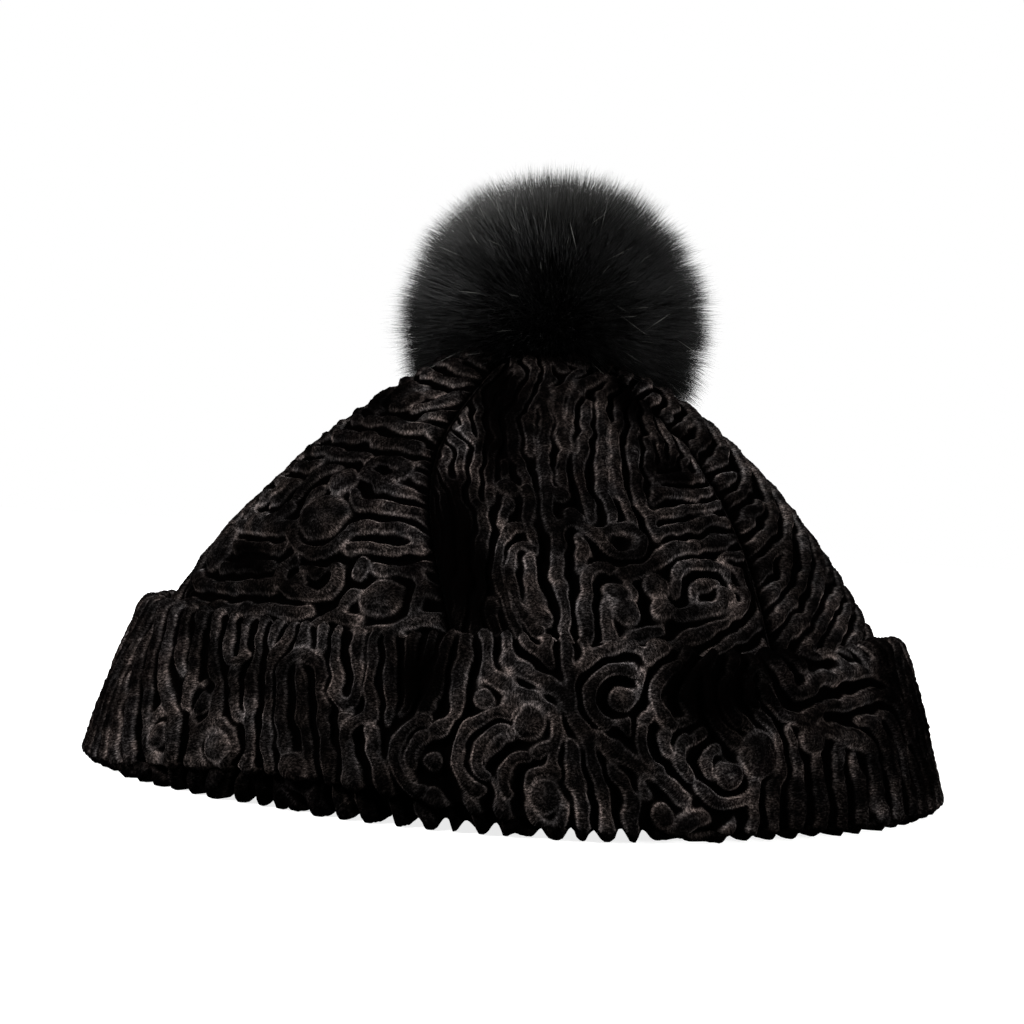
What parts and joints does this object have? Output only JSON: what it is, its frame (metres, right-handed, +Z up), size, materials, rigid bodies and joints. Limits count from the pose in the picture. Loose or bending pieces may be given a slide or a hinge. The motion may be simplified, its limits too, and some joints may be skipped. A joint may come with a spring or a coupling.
{
  "type": "fur cap",
  "caption": "Winter cap of black curly lambskin: a crown of sewn gores, a deep turned-up cuff, and a ball of long fur tied to the top.",
  "frame": {"origin": "middle of the cap's box, on the surface that the rim stands on", "axes": "+Z up through the crown, +X along the cap's long side to the wearer's left as seen from the front, -Y to the front"},
  "size_m": [0.2484, 0.1818, 0.1827],
  "materials": {
    "lamb_fur": "short curly fur, velvety, brown-black",
    "long_fur": "long loose fur, black with grey tips"
  },
  "bodies": {
    "root": {"gore_front": "lamb_fur", "gore_right": "lamb_fur", "gore_back_right": "lamb_fur", "gore_back": "lamb_fur", "gore_back_left": "lamb_fur", "gore_left": "lamb_fur", "cuff": "lamb_fur", "fur_ball": "long_fur"}
  },
  "joints": []
}
